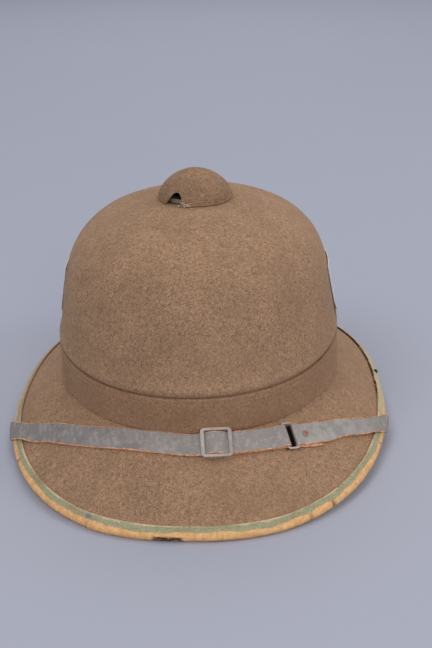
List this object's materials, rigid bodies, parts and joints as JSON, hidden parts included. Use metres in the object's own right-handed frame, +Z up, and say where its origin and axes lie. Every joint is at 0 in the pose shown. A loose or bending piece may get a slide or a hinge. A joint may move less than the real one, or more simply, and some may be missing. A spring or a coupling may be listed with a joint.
{
  "type": "pith helmet",
  "caption": "Felt sun helmet with a rounded crown, drooping oval brim, leather rim binding, felt hatband, domed top vent, bare side shields and a buckled leather chin strap over the brim.",
  "frame": {"origin": "On the floor under the middle of the helmet", "axes": "+Z up, -Y towards the front of the helmet, +X towards the right of a viewer who faces its front"},
  "size_m": [0.2663, 0.3378, 0.1759],
  "materials": {
    "felt": "matte wool felt",
    "band_felt": "matte wool felt, darker",
    "binding_leather": "worn, finish rubbed off",
    "strap_leather": "grey finish with frayed edges",
    "grey_metal": "grey paint, worn",
    "vent_metal": "dull grey-green",
    "shield_metal": "satin",
    "copper": "dull copper colour"
  },
  "bodies": {
    "root": {"crown": "felt", "brim": "felt", "hatband": "band_felt", "brim_binding": "binding_leather", "vent_cap": "felt", "vent_collar": "vent_metal", "shield_left": "shield_metal", "shield_right": "shield_metal", "strap_long": "strap_leather", "strap_short": "strap_leather", "slide_buckle": "grey_metal", "strap_ring": "grey_metal", "strap_stud": "copper", "strap_anchor_left": "grey_metal", "strap_anchor_right": "grey_metal"}
  },
  "joints": []
}
